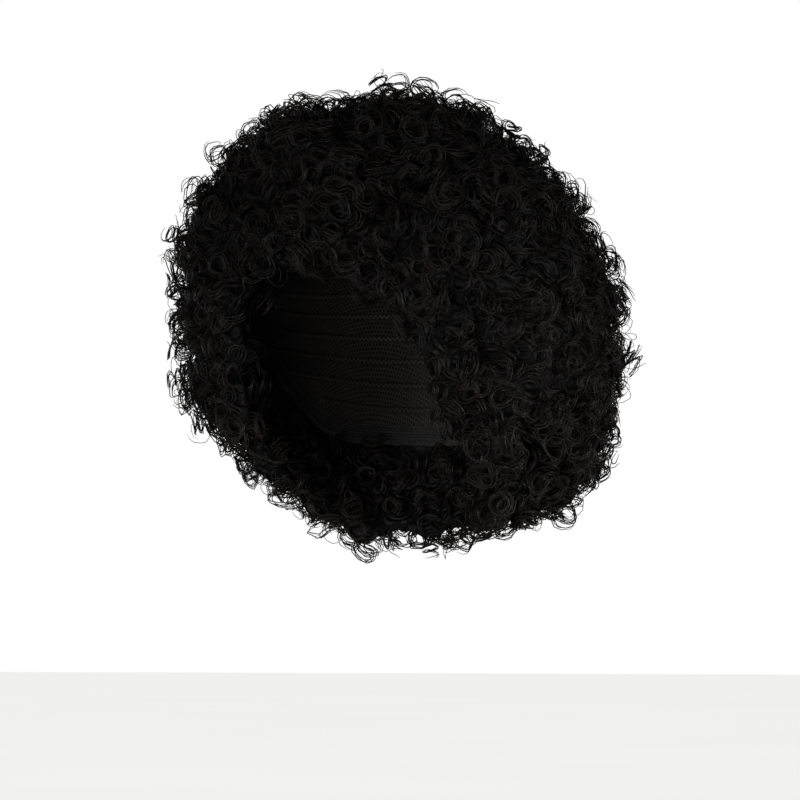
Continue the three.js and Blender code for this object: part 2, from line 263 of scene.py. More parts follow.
# %% [markdown]
# A blur takes the facets and the solid locks out of the outline. It is done on the sphere of
# directions, where every reading counts by its angle from the one being worked out, so that the
# top of the head isn't treated differently from the sides. Gaps past the edge are left out of it,
# and are then filled with the last value above them, so that a reading at the very edge is sound.
# %% Smoothing and reading a grid
def smoothed(grid, spread):
    """A grid blurred on the sphere by a spread in radians, its gaps left out."""
    rays = np.array([direction(f, t) for f in FALLS for t in TURNS])
    share = np.repeat(np.sin(FALLS) + 0.001, len(TURNS))
    values = grid.ravel()
    known = ~np.isnan(values)
    filled = np.where(known, values, 0)
    made = np.empty(len(values))
    for start in range(0, len(values), len(TURNS)):
        rows = slice(start, start + len(TURNS))
        near = np.exp((rays[rows] @ rays.T - 1) / spread**2) * share * known
        made[rows] = near @ filled / np.maximum(near.sum(axis=1), 1e-12)
    return np.where(known, made, np.nan).reshape(grid.shape)


def grid_reader(grid):
    """A function that reads a grid at an angle down and an azimuth, blending four values."""
    made = grid.copy()
    for column in made.T:
        known = np.flatnonzero(~np.isnan(column))
        column[:] = np.interp(np.arange(len(column)), known, column[known])
    made[0] = made[0].mean()

    def read(fall, turn):
        row = min(max(fall / FALL_STEP, 0), len(FALLS) - 1.001)
        column = (turn / TURN_STEP) % len(TURNS)
        i, j = int(row), int(column)
        a, b = row - i, column - j
        k = (j + 1) % len(TURNS)
        top = made[i, j] * (1 - b) + made[i, k] * b
        bottom = made[i + 1, j] * (1 - b) + made[i + 1, k] * b
        return top * (1 - a) + bottom * a

    return read


OUTLINE_BLUR = math.radians(4)
CAP_BLUR = math.radians(2.5)
outer_reach = grid_reader(smoothed(hair_far, OUTLINE_BLUR))
inner_reach = grid_reader(hair_near)
cap_inside = grid_reader(smoothed(cap_near, CAP_BLUR))
cap_outside = grid_reader(smoothed(cap_far, CAP_BLUR))
print(f"over the left ear the hair stands {outer_reach(math.pi / 2, math.pi / 2) / MM:.0f} mm out")

# %% [markdown]
# The edges are found more finely than the grid's rows: between the last ray that meets the hair
# and the first that misses it, the angle is halved again and again. The hair's own edge is ragged
# with locks, so it is smoothed, while the cap's rim is a clean curve already.
# %% Edges
HALVINGS = 10
EDGE_BLUR = 4  # columns, to each side
RIM_BLUR = 2


def edge_between(tree, turn, inside, outside):
    """The angle down at which a surface ends, between one that is on it and one that is off."""
    for _ in range(HALVINGS):
        middle = (inside + outside) / 2
        if wall_along(tree, middle, turn)[0] is None:
            outside = middle
        else:
            inside = middle
    return inside


def edge_reader(tree, lowest, columns):
    """A function of azimuth that says where a surface starts or ends, blurred a little."""
    found = []
    for turn in TURNS:
        on = [fall for fall in FALLS if wall_along(tree, fall, turn)[0] is not None]
        found.append(
            edge_between(tree, turn, on[-1], on[-1] + FALL_STEP)
            if lowest
            else edge_between(tree, turn, on[0], on[0] - FALL_STEP)
        )
    ring = np.array(found[-columns:] + found + found[:columns])
    window = np.hanning(2 * columns + 3)[1:-1]
    made = np.convolve(ring, window / window.sum(), mode="valid")

    def read(turn):
        column = (turn / TURN_STEP) % len(TURNS)
        j = int(column)
        b = column - j
        return float(made[j] * (1 - b) + made[(j + 1) % len(TURNS)] * b)

    return read


hair_edge = edge_reader(hair_tree, True, EDGE_BLUR)
cap_edge = edge_reader(cap_tree, True, RIM_BLUR)
band_foot = edge_reader(band_tree, True, RIM_BLUR)
band_top = edge_reader(band_tree, False, RIM_BLUR)
print(f"the hair ends {math.degrees(hair_edge(0)):.0f} degrees down in front,",
      f"{math.degrees(hair_edge(math.pi)):.0f} at the nape")

# %% [markdown]
# ## The under-hair
# Deep in the mass no single strand can be told from the next: there is only darkness with a hint
# of coils. A closed shell stands for that, so that no light leaks through and the planted locks
# have something to grow from. It follows the measured outline, drawn in by the depth of a lock,
# and swells into lumps the width of two fingers, because neighbouring locks clump. The lumps are
# cells of a Voronoi pattern, whose rounded tops and sharp seams are just what clumping makes.
# Each panel is a grid of rows from its top to its hem and back up inside, closed along both
# partings.
# %% The under-hair's outline
UNDER_DEPTH = 7.5 * MM  # of the under-hair, below the hair's outline
LEAST_HAIR = 2.5 * MM
CLUMP_WIDTH = 34 * MM
CLUMP_HEIGHT = 17 * MM
CLUMP_ROUNDNESS = 1.6
CLUMP_LEVEL = 0.62  # the share of a clump's height that lies below the outline


def clump_share(point):
    """How high on a clump a point lies: 0 in the seam between two clumps, 1 on a round top."""
    near, far = noise.voronoi(point / CLUMP_WIDTH)[0][:2]
    return min(1, CLUMP_ROUNDNESS * (far - near)) ** 0.5


def under_radius(fall, turn):
    """The distance of the under-hair's outside from the root centre."""
    outline = outer_reach(fall, turn)
    lump = clump_share(direction(fall, turn) * outline) - CLUMP_LEVEL
    return max(inner_reach(fall, turn) + LEAST_HAIR, outline - UNDER_DEPTH + CLUMP_HEIGHT * lump)


# %% [markdown]
# The hair doesn't end in a cut edge. Over the forehead and the temples the last curls hang free,
# by nearly a curl's width, and they hang further where a clump ends than in the notch between two.
# %% The hem
# degrees round from the front, mm that the curls hang past the edge of the hair
HANG = [(0, 9), (48, 8), (62, 5), (85, 3), (120, 1), (180, 1)]


def hem_fall(turn):
    """The angle down at which the hair ends, with the curls that hang past its edge."""
    edge = hair_edge(turn)
    reach = inner_reach(edge, turn)
    around = abs(math.degrees(math.remainder(turn, 2 * math.pi)))
    hang = float(np.interp(around, *zip(*HANG))) * MM
    lump = clump_share(direction(edge, turn) * reach) - CLUMP_LEVEL
    return edge + hang * (1 + lump) / reach


print(f"in front the hair hangs to {math.degrees(hem_fall(0)):.0f} degrees down")

# %% [markdown]
# The partings between the panels are cuts that run straight out from the root centre, so a panel
# is told by two azimuths and two angles down. A face of the under-hair also says how thickly
# locks grow on it: fully on the tops of the clumps and round the hem, thinly in the seams between
# clumps, which stay dark, and inside below the cap's rim, and not at all on a parting or against
# the cap. Large panels are planted in two parts, which keeps each mesh light enough to work with.
# %% Panels
TOP_PARTING = 52  # degrees down, between the crown and the panels round it
FRONT_SPLIT = 12 * MM  # behind the root centre, where the crown's planting is split
LOW_SPLIT = 2 * MM  # above the root centre, where the back's planting is split
PART_GAP = math.radians(0.06)
GRID_STEP = math.radians(2.4)
SKIN_GAP = 0.4 * MM  # from the inside of the hair to the under-hair
HEM_ROWS = 3
INSIDE_GROWTH = 0.5
SEAM_GROWTH = 0.2
FULL_HEM = math.radians(7)  # how far above the hem the locks grow fully
CAP_MARGIN = math.radians(3)
PARTING_WIDTH = math.radians(0.3)
PANELS = {
    "crown": {"turns": (0, 360), "falls": (0, TOP_PARTING), "rows": 22, "split": "front"},
    "fringe": {"turns": (-48, 48), "falls": (TOP_PARTING, None), "rows": 14, "split": None},
    "left": {"turns": (48, 128), "falls": (TOP_PARTING, None), "rows": 30, "split": None},
    "back": {"turns": (128, 232), "falls": (TOP_PARTING, None), "rows": 32, "split": "low"},
    "right": {"turns": (232, 312), "falls": (TOP_PARTING, None), "rows": 30, "split": None},
}
SPLITS = {
    None: lambda ray: 0,
    "front": lambda ray: int(ray.y > FRONT_SPLIT),
    "low": lambda ray: int(ray.z < LOW_SPLIT),
}


def panel_column(panel, turn):
    """Points of one column: down the outside, round the hem and back up the inside."""
    top, hem = panel["falls"]
    top = math.radians(top) + (PART_GAP if top else 0)
    hem = hem_fall(turn) if hem is None else math.radians(hem) - PART_GAP
    steps = [top + (hem - top) * k / panel["rows"] for k in range(panel["rows"] + 1)]
    outside = [ROOT + direction(f, turn) * under_radius(f, turn) for f in steps]
    inside = [ROOT + direction(f, turn) * (inner_reach(f, turn) + SKIN_GAP) for f in reversed(steps)]
    middle = [outside[-1].lerp(inside[0], k / HEM_ROWS) for k in range(1, HEM_ROWS)]
    return outside + middle + inside


def growth(centre, panel):
    """How thickly locks grow on a face, from 0 to 1."""
    ray = centre - ROOT
    fall, turn = ray.angle(Vector((0, 0, 1))), math.atan2(ray.x, -ray.y)
    sides = [math.radians(t) for t in panel["turns"]] if panel["falls"][1] is None else []
    from_side = [abs(math.remainder(turn - side, 2 * math.pi)) for side in sides]
    tops = [math.radians(t) for t in panel["falls"] if t]
    if min(from_side + [abs(fall - top) for top in tops], default=1) < PARTING_WIDTH:
        return 0.0
    root, outline = inner_reach(fall, turn), under_radius(fall, turn)
    depth = (ray.length - root) / (outline - root)
    if depth > 0.5 and not (sides and fall > hem_fall(turn) - FULL_HEM):
        height = clump_share(direction(fall, turn) * outer_reach(fall, turn))
        return SEAM_GROWTH + (1 - SEAM_GROWTH) * height
    if depth < 0.5 and fall < cap_edge(turn) + CAP_MARGIN:
        return 0.0
    return INSIDE_GROWTH if depth < 0.2 else 1.0


def seal(piece):
    """Merges doubled points, drops flat faces, and turns every face outwards."""
    work = bmesh.new()
    work.from_mesh(piece.data)
    bmesh.ops.remove_doubles(work, verts=work.verts, dist=0.01 * MM)
    bmesh.ops.dissolve_degenerate(work, edges=work.edges, dist=0.01 * MM)
    bmesh.ops.recalc_face_normals(work, faces=work.faces)
    open_edges = sum(not e.is_manifold for e in work.edges)
    work.to_mesh(piece.data)
    work.free()
    print(f"{piece.name}: {len(piece.data.polygons)} faces, {open_edges} open edges")


def loft(name, columns, whole, looped, material=None):
    """A closed body between columns of points: whole if it comes full circle, looped if each does."""
    tall = len(columns[0])
    faces = []
    for j in range(len(columns) - (not whole)):
        a, b = j * tall, ((j + 1) % len(columns)) * tall
        faces += [(a + k, a + k + 1, b + k + 1, b + k) for k in range(tall - 1)]
        if looped:
            faces.append((a + tall - 1, a, b, b + tall - 1))
    if not whole:
        for a in (0, (len(columns) - 1) * tall):
            sides = [(a + k, a + tall - 1 - k, a + tall - 2 - k, a + k + 1) for k in range(tall // 2)]
            faces += [tuple(dict.fromkeys(side)) for side in sides if len(set(side)) > 2]
    made = mesh_object(name, [p for column in columns for p in column], faces, material)
    seal(made)
    return made


def make_under_hair(name, panel):
    """One closed panel of under-hair, with the growth and the part of each face."""
    start, end = (math.radians(t) for t in panel["turns"])
    whole = panel["turns"][1] - panel["turns"][0] == 360
    if not whole:
        start, end = start + PART_GAP, end - PART_GAP
    count = round((end - start) / GRID_STEP)
    turns = [start + (end - start) * k / count for k in range(count + (not whole))]
    columns = [panel_column(panel, turn) for turn in turns]
    made = loft(f"{name}_under_hair", columns, whole, bool(panel["falls"][0]))
    grow = made.data.attributes.new("growth", "FLOAT", "FACE")
    part = made.data.attributes.new("part", "INT", "FACE")
    for face in made.data.polygons:
        grow.data[face.index].value = growth(face.center, panel)
        part.data[face.index].value = SPLITS[panel["split"]](face.center - ROOT)
    return made


under_hair = {name: make_under_hair(name, panel) for name, panel in PANELS.items()}

# %% [markdown]
# ## The finish of the fibre
# Wigs like this are modacrylic: a plastic fibre, dyed black in the mass, drawn out and set in
# curls by heat. It is smooth, so it shines a little more than real hair and along each strand
# rather than in points. Its colour isn't quite even, since some bundles come out a shade warmer.
# The index of refraction is that of acrylic, and the roughness is a middle one, because what
# shows as a strand here is a bundle of finer ones.
# %% Fibre materials
FIBRE_IOR = 1.5
FIBRE_ROUGHNESS = 0.48
FIBRE_SPECULAR = 0.35
FIBRE_GRAIN = 2.5 * MM  # the length over which a strand's shade changes


def make_fibre():
    """Modacrylic fibre, heat-set in curls: near black, a shade warmer from lock to lock."""
    material, tree, shader = new_material("modacrylic_curled_fibre")
    tone = add_node(tree, "ShaderNodeAttribute", {"attribute_name": "tone"}).outputs["Fac"]
    place = add_node(tree, "ShaderNodeTexCoord").outputs["Object"]
    grain = add_node(tree, "ShaderNodeTexNoise", Vector=place, Scale=1 / FIBRE_GRAIN, Detail=2.0)
    mixed = add_node(
        tree, "ShaderNodeMath", {"operation": "MULTIPLY_ADD"}, i0=grain.outputs["Fac"], i1=0.5, i2=tone
    )
    ramp = add_node(tree, "ShaderNodeValToRGB", Fac=mixed.outputs[0])
    ramp.color_ramp.elements[0].color = linear("#0b0a0a")
    ramp.color_ramp.elements[1].color = linear("#1f1916")
    rough = add_node(
        tree, "ShaderNodeMapRange", Value=grain.outputs["Fac"],
        To_Min=FIBRE_ROUGHNESS - 0.08, To_Max=FIBRE_ROUGHNESS + 0.12,
    )
    tree.links.new(ramp.outputs["Color"], shader.inputs["Base Color"])
    tree.links.new(rough.outputs["Result"], shader.inputs["Roughness"])
    shader.inputs["IOR"].default_value = FIBRE_IOR
    shader.inputs["Specular IOR Level"].default_value = FIBRE_SPECULAR
    return material


fibre = make_fibre()
print("fibre:", fibre.name)

# %% [markdown]
# The under-hair takes the same fibre, seen in the mass, and its colour is painted shade: darker
# than the locks, because the fibre lies deep inside. Its coils are drawn as rings about the centres
# of Voronoi cells as wide as a real curl: the distance to the nearest centre is run through a sine,
# so that each cell shows a few rings one inside the other. The sine gives the rings' bumps and also
# their colour: painted shade in the grooves and a painted sheen on the tops.
# %% Under-hair material
CURL_WIDTH = 15 * MM
RINGS_PER_CURL = 4
RING_DEPTH = 1.2 * MM
RING_WANDER = 6 * MM  # how far the rings are pushed out of round


def make_painted_shade_fibre():
    """Modacrylic fibre in the mass, in painted shade: darker than a lock, with rings of curl pressed into
    it and painted darker in their grooves.
    """
    material, tree, shader = new_material("modacrylic_fibre_in_painted_shade")
    place = add_node(tree, "ShaderNodeTexCoord").outputs["Object"]
    bent = add_node(tree, "ShaderNodeTexNoise", Vector=place, Scale=1 / CURL_WIDTH, Detail=1.0)
    wander = add_node(
        tree, "ShaderNodeVectorMath", {"operation": "MULTIPLY_ADD"},
        i0=bent.outputs["Color"], i1=(RING_WANDER,) * 3, i2=place,
    )
    cells = add_node(tree, "ShaderNodeTexVoronoi", Vector=wander.outputs[0], Scale=1 / CURL_WIDTH)
    turns = add_node(
        tree, "ShaderNodeMath", {"operation": "MULTIPLY"},
        i0=cells.outputs["Distance"], i1=2 * math.pi * RINGS_PER_CURL,
    )
    rings = add_node(tree, "ShaderNodeMath", {"operation": "SINE"}, i0=turns.outputs[0])
    height = add_node(tree, "ShaderNodeMapRange", Value=rings.outputs[0], From_Min=-1.0)
    bump = add_node(
        tree, "ShaderNodeBump", Strength=1.0, Distance=RING_DEPTH, Height=height.outputs["Result"]
    )
    # painted shade and sheen: darker than a lock's fibre, darker in the ring grooves, lighter on the ring
    # tops
    ramp = add_node(tree, "ShaderNodeValToRGB", Fac=height.outputs["Result"])
    ramp.color_ramp.elements[0].color = linear("#050505")
    ramp.color_ramp.elements[1].color = linear("#110e0d")
    tree.links.new(ramp.outputs["Color"], shader.inputs["Base Color"])
    tree.links.new(bump.outputs["Normal"], shader.inputs["Normal"])
    shader.inputs["Roughness"].default_value = 0.6
    shader.inputs["IOR"].default_value = FIBRE_IOR
    shader.inputs["Specular IOR Level"].default_value = FIBRE_SPECULAR / 2
    return material


painted_shade_fibre = make_painted_shade_fibre()
for name, piece in under_hair.items():
    piece.data.materials.append(painted_shade_fibre)
print("under-hair finished:", len(under_hair), "panels")

# %% [markdown]
# ## The locks
# A lock is a few strands that wind side by side. Geometry Nodes suits it well: a Curve Spiral is
# one strand, a handful of them a little apart is a lock, and a short table of locks, from flat
# rings to small corkscrews, gives enough variety that no two neighbours match once each is turned,
# tilted and scaled by chance. The points they stand on come from Distribute Points on Faces in
# its Poisson mode, which keeps them evenly apart as wefts do.
# %% Kinds of lock
# turns, height, inner and outer radius of the coil, strands; lengths in mm
LOCKS = [
    (1.5, 2.5, 5.0, 8.0, 4),
    (1.9, 6.0, 6.5, 7.0, 4),
    (2.4, 11.0, 5.5, 6.0, 3),
    (1.3, 3.5, 8.0, 6.0, 4),
    (1.8, 4.0, 4.0, 7.0, 3),
    (1.4, 8.0, 7.5, 8.5, 4),
]
SMALL_LOCKS = [
    (1.6, 3.0, 3.2, 4.5, 3),
    (2.1, 6.0, 3.0, 3.6, 2),
    (1.3, 2.5, 4.5, 5.0, 3),
]
STRAYS = [
    (1.4, 6.0, 4.5, 3.5, 1),
    (1.9, 9.0, 3.5, 4.5, 1),
    (1.2, 5.0, 6.0, 5.0, 1),
    (1.1, 7.0, 7.5, 6.0, 1),
]
STRAND_STEP = 0.85 * MM  # from one strand of a lock to the next
POINTS_PER_TURN = 11


def coil_kind(tree, kind, seed):
    """One kind of lock as an instance: its strands side by side, each a little out of line."""
    turns, height, start, end, strands = kind
    chance = np.random.default_rng(seed)
    joined = add_node(tree, "GeometryNodeJoinGeometry")
    for strand in range(strands):
        beside = (strand - (strands - 1) / 2) * STRAND_STEP
        coil = add_node(
            tree, "GeometryNodeCurveSpiral", Resolution=POINTS_PER_TURN,
            Rotations=turns * chance.uniform(0.85, 1.1), Height=height * MM * chance.uniform(0.8, 1.2),
            Start_Radius=start * MM + beside, End_Radius=end * MM + beside,
        )
        lean = [float(x) for x in chance.normal(0, 0.09, 2)] + [float(chance.uniform(-0.35, 0.35))]
        moved = add_node(
            tree, "GeometryNodeTransform", Geometry=coil.outputs[0], Rotation=lean,
            Translation=[float(x) for x in chance.normal(0, 0.4 * MM, 3)],
        )
        tree.links.new(moved.outputs[0], joined.inputs[0])
    return add_node(tree, "GeometryNodeGeometryToInstance", Geometry=joined.outputs[0]).outputs[0]


# %% [markdown]
# One layer of planting takes the kinds of lock and says how far apart they stand, how far off the
# surface, how much they tilt and how thick their strands are. The same steps serve for full locks
# and for the frizz, whose single thin strands stand further off and thin out the outline.
# %% One layer of planting
LOCK_SIZES = (0.8, 1.15)  # the least and the most that a lock is scaled by


def plant(tree, ground, part, kinds, apart, lift, tilt, thickness, seed):
    """Scatters kinds of coil over the ground and returns their curves, with tone and thickness."""
    grow = add_node(tree, "GeometryNodeInputNamedAttribute", {"data_type": "FLOAT"}, Name="growth")
    owner = add_node(tree, "GeometryNodeInputNamedAttribute", {"data_type": "INT"}, Name="part")
    mine = add_node(
        tree, "FunctionNodeCompare", {"data_type": "INT", "operation": "EQUAL"},
        A=owner.outputs["Attribute"], B=part,
    )
    points = add_node(
        tree, "GeometryNodeDistributePointsOnFaces", {"distribute_method": "POISSON"},
        Mesh=ground, Selection=mine.outputs[0], Distance_Min=apart, Density_Max=1e6,
        Density_Factor=grow.outputs["Attribute"], Seed=seed,
    )
    out = add_node(
        tree, "FunctionNodeRandomValue", {"data_type": "FLOAT"}, i2=lift[0], i3=lift[1], Seed=seed + 1
    )
    push = add_node(
        tree, "ShaderNodeVectorMath", {"operation": "SCALE"},
        Vector=points.outputs["Normal"], Scale=out.outputs[1],
    )
    lifted = add_node(
        tree, "GeometryNodeSetPosition", Geometry=points.outputs["Points"], Offset=push.outputs[0]
    )
    upright = add_node(
        tree, "FunctionNodeAlignRotationToVector", {"axis": "Z"}, Vector=points.outputs["Normal"]
    )
    spin = add_node(
        tree, "FunctionNodeRandomValue", {"data_type": "FLOAT_VECTOR"},
        Min=(-tilt, -tilt, -math.pi), Max=(tilt, tilt, math.pi), Seed=seed + 2,
    )
    twist = add_node(tree, "FunctionNodeEulerToRotation", Euler=spin.outputs[0])
    turned = add_node(
        tree, "FunctionNodeRotateRotation", {"rotation_space": "LOCAL"},
        Rotation=upright.outputs[0], Rotate_By=twist.outputs[0],
    )
    scale = add_node(
        tree, "FunctionNodeRandomValue", {"data_type": "FLOAT"},
        i2=LOCK_SIZES[0], i3=LOCK_SIZES[1], Seed=seed + 3,
    )
    choice = add_node(tree, "GeometryNodeJoinGeometry")
    for number, kind in enumerate(kinds):
        tree.links.new(coil_kind(tree, kind, seed + number), choice.inputs[0])
    planted = add_node(
        tree, "GeometryNodeInstanceOnPoints", Points=lifted.outputs[0], Instance=choice.outputs[0],
        Pick_Instance=True, Rotation=turned.outputs[0], Scale=scale.outputs[1],
    )
    tone = add_node(tree, "FunctionNodeRandomValue", {"data_type": "FLOAT"}, Seed=seed + 4)
    toned = add_node(
        tree, "GeometryNodeStoreNamedAttribute", {"data_type": "FLOAT", "domain": "INSTANCE"},
        Geometry=planted.outputs[0], Name="tone", Value=tone.outputs[1],
    )
    sized = add_node(
        tree, "GeometryNodeStoreNamedAttribute", {"data_type": "FLOAT", "domain": "INSTANCE"},
        Geometry=toned.outputs[0], Name="thickness", Value=thickness,
    )
    return add_node(tree, "GeometryNodeRealizeInstances", Geometry=sized.outputs[0]).outputs[0]


# %% [markdown]
# Three layers make the hair: the locks, a sprinkling of smaller and finer ones between them, and
# the frizz. The whole tree joins the layers, lets every strand wander a little by a noise that
# changes along its length, and gives it a body. Three sides are enough for something that is
# less than a millimetre thick: smooth shading rounds it, and a mesh this large has to be thrifty.
# %% The tree of locks
WANDER = 2.6 * MM
WANDER_LENGTH = 12 * MM
TIP_SHARE = 0.15  # of a strand's length, over which each end thins out
TIP_THICKNESS = 0.35
STRAND_SIDES = 3
SEED_STEP = 40  # from one layer's random draws to the next
FIRST_SEED = 10
LAYERS = [
    {"name": "Lock", "kinds": LOCKS, "apart": 8.7, "radius": 0.38, "lift": (-2, 4), "tilt": 0.9},
    {"name": "Small Lock", "kinds": SMALL_LOCKS, "apart": 16.5, "radius": 0.3, "lift": (0, 5), "tilt": 1.2},
    {"name": "Stray", "kinds": STRAYS, "apart": 13.0, "radius": 0.24, "lift": (3, 8), "tilt": 1.5},
]


def make_lock_tree():
    """The Geometry Nodes tree that plants the layers of curls on a panel of under-hair."""
    tree = bpy.data.node_groups.new("coiled_locks", "GeometryNodeTree")
    tree.interface.new_socket("Ground", in_out="INPUT", socket_type="NodeSocketGeometry")
    tree.interface.new_socket("Part", in_out="INPUT", socket_type="NodeSocketInt")
    for layer in LAYERS:
        for measure in ("Spacing", "Radius"):
            tree.interface.new_socket(
                f"{layer['name']} {measure}", in_out="INPUT", socket_type="NodeSocketFloat"
            )
    tree.interface.new_socket("Locks", in_out="OUTPUT", socket_type="NodeSocketGeometry")
    given = add_node(tree, "NodeGroupInput").outputs
    hair = add_node(tree, "GeometryNodeJoinGeometry")
    for number, layer in enumerate(LAYERS):
        curls = plant(
            tree, given["Ground"], given["Part"], layer["kinds"], given[f"{layer['name']} Spacing"],
            [height * MM for height in layer["lift"]], layer["tilt"],
            given[f"{layer['name']} Radius"], FIRST_SEED + SEED_STEP * number,
        )
        tree.links.new(curls, hair.inputs[0])
    drift = add_node(tree, "ShaderNodeTexNoise", Scale=1 / WANDER_LENGTH, Detail=0.0)
    middle = add_node(
        tree, "ShaderNodeVectorMath", {"operation": "SUBTRACT"}, i0=drift.outputs["Color"], i1=(0.5,) * 3
    )
    sway = add_node(
        tree, "ShaderNodeVectorMath", {"operation": "SCALE"}, Vector=middle.outputs[0], Scale=2 * WANDER
    )
    swayed = add_node(tree, "GeometryNodeSetPosition", Geometry=hair.outputs[0], Offset=sway.outputs[0])
    along = add_node(tree, "GeometryNodeSplineParameter").outputs["Factor"]
    ends = add_node(tree, "ShaderNodeMath", {"operation": "PINGPONG"}, i0=along, i1=0.5)
    taper = add_node(
        tree, "ShaderNodeMapRange", Value=ends.outputs[0],
        From_Max=TIP_SHARE, To_Min=TIP_THICKNESS, To_Max=1.0,
    )
    own = add_node(tree, "GeometryNodeInputNamedAttribute", {"data_type": "FLOAT"}, Name="thickness")
    radius = add_node(
        tree, "ShaderNodeMath", {"operation": "MULTIPLY"},
        i0=own.outputs["Attribute"], i1=taper.outputs["Result"],
    )
    profile = add_node(tree, "GeometryNodeCurvePrimitiveCircle", Resolution=STRAND_SIDES, Radius=1.0)
    body = add_node(
        tree, "GeometryNodeCurveToMesh", Curve=swayed.outputs[0],
        Profile_Curve=profile.outputs[0], Scale=radius.outputs[0], Fill_Caps=True,
    )
    smooth = add_node(tree, "GeometryNodeSetShadeSmooth", Geometry=body.outputs[0])
    real = add_node(tree, "GeometryNodeRealizeInstances", Geometry=smooth.outputs[0])
    finish = add_node(tree, "GeometryNodeSetMaterial", Geometry=real.outputs[0], Material=fibre)
    add_node(tree, "NodeGroupOutput", Locks=finish.outputs[0])
    return tree


def grown(name, ground, tree, **values):
    """The plain mesh object that a Geometry Nodes tree makes of a ground, with given inputs."""
    ground.modifiers.new(name, "NODES").node_group = tree
    modifier = ground.modifiers[name]
    names = {item.name: item.identifier for item in tree.interface.items_tree if item.in_out == "INPUT"}
    for key, value in values.items():
        modifier[names[key.replace("_", " ")]] = value
    evaluated = ground.evaluated_get(bpy.context.evaluated_depsgraph_get())
    made = bpy.data.objects.new(name, bpy.data.meshes.new_from_object(evaluated))
    made.data.name = name
    bpy.context.scene.collection.objects.link(made)
    ground.modifiers.remove(modifier)
    return made


def triangles(piece):
    """How many triangles a mesh object has."""
    return sum(len(p.vertices) - 2 for p in piece.data.polygons)


lock_tree = make_lock_tree()
measures = {}
for layer in LAYERS:
    key = layer["name"].replace(" ", "_")
    measures[f"{key}_Spacing"] = layer["apart"] * MM
    measures[f"{key}_Radius"] = layer["radius"] * MM
locks = {}
for name, panel in PANELS.items():
    for part in range(1 if panel["split"] is None else 2):
        piece = grown(f"{name}_locks_{part + 1}", under_hair[name], lock_tree, Part=part, **measures)
        locks[piece.name] = (piece, name)
        print(f"{piece.name}: {triangles(piece)} triangles")
print("locks in all:", sum(triangles(piece) for piece, _ in locks.values()), "triangles")

# %% [markdown]
# ## The cap
# Under the hair is a cap of stretch net, the foundation that the locks are sewn to. It is one thin
# wall that follows the skull, so it is lofted from columns that run down its outside, round the
# rim and back up its inside. It is given a UV map that rolls the dome out flat from the crown, in
# metres, so that the net can be drawn at its real size.
# %% Cap
SKULL = 88 * MM  # a middling distance from the root centre to the cap
CAP_COLUMNS = 120
CAP_ROWS = 34
CAP_GAP = 0.1 * MM


def cap_column(turn):
    """Points down the outside of the cap, round its rim and back up the inside."""
    steps = [cap_edge(turn) * k / CAP_ROWS for k in range(CAP_ROWS + 1)]
    outside = [ROOT + direction(f, turn) * (cap_outside(f, turn) - CAP_GAP) for f in steps]
    inside = [ROOT + direction(f, turn) * (cap_inside(f, turn) + CAP_GAP) for f in reversed(steps)]
    return outside + [outside[-1].lerp(inside[0], 0.5)] + inside


def lay_out(piece, place):
    """Gives a mesh a UV map, each corner at the place that a function of its position says."""
    layer = piece.data.uv_layers.new(name="UVMap")
    spots = [place(v.co) for v in piece.data.vertices]
    for loop in piece.data.loops:
        layer.data[loop.index].uv = spots[loop.vertex_index]


def rolled_out(point):
    """Where a point of the dome lies once it is rolled out flat from the crown."""
    ray = point - ROOT
    fall, turn = ray.angle(Vector((0, 0, 1))), math.atan2(ray.x, -ray.y)
    return (SKULL * fall * math.sin(turn), -SKULL * fall * math.cos(turn))


cap_turns = [2 * math.pi * k / CAP_COLUMNS for k in range(CAP_COLUMNS)]
cap_piece = loft("stretch_net_cap", [cap_column(turn) for turn in cap_turns], True, False)
lay_out(cap_piece, rolled_out)

# %% [markdown]
# Stretch net is knitted from fine nylon that leaves a six-sided hole every couple of millimetres.
# Three waves, a sixth of a turn apart, add up to a honeycomb: high in the holes and low where
# threads run. The same sum gives the height of the thread and its colour. The real mesh is a
# little finer than this, and would blur away in a picture of this size.
# %% Net material
NET_PITCH = 2.6 * MM
THREAD_HEIGHT = 0.5 * MM
IN_A_HOLE = 1.3  # the sum of the waves well inside a hole, and on the back of a thread
ON_A_THREAD = -0.6


def make_net():
    """Black nylon warp-knit net: matt threads that stand a little proud of dark holes."""
    material, tree, shader = new_material("nylon_stretch_net")
    place = add_node(tree, "ShaderNodeUVMap", {"uv_map": "UVMap"}).outputs["UV"]
    total = None
    for third in range(3):
        angle = third * math.pi / 3
        lean = (math.cos(angle) * 2 * math.pi / NET_PITCH, math.sin(angle) * 2 * math.pi / NET_PITCH, 0)
        along = add_node(tree, "ShaderNodeVectorMath", {"operation": "DOT_PRODUCT"}, i0=place, i1=lean)
        wave = add_node(tree, "ShaderNodeMath", {"operation": "COSINE"}, i0=along.outputs["Value"])
        if total is None:
            total = wave.outputs[0]
        else:
            both = add_node(tree, "ShaderNodeMath", {"operation": "ADD"}, i0=total, i1=wave.outputs[0])
            total = both.outputs[0]
    thread = add_node(tree, "ShaderNodeMapRange", Value=total, From_Min=IN_A_HOLE, From_Max=ON_A_THREAD)
    ramp = add_node(tree, "ShaderNodeValToRGB", Fac=thread.outputs["Result"])
    ramp.color_ramp.elements[0].color = linear("#0a0a0a")
    ramp.color_ramp.elements[1].color = linear("#3a3633")
    bump = add_node(
        tree, "ShaderNodeBump", Strength=1.0, Distance=THREAD_HEIGHT, Height=thread.outputs["Result"]
    )
    tree.links.new(ramp.outputs["Color"], shader.inputs["Base Color"])
    tree.links.new(bump.outputs["Normal"], shader.inputs["Normal"])
    shader.inputs["Roughness"].default_value = 0.75
    shader.inputs["Specular IOR Level"].default_value = 0.3
    return material


cap_piece.data.materials.append(make_net())
print("net: a hole every", NET_PITCH / MM, "mm")

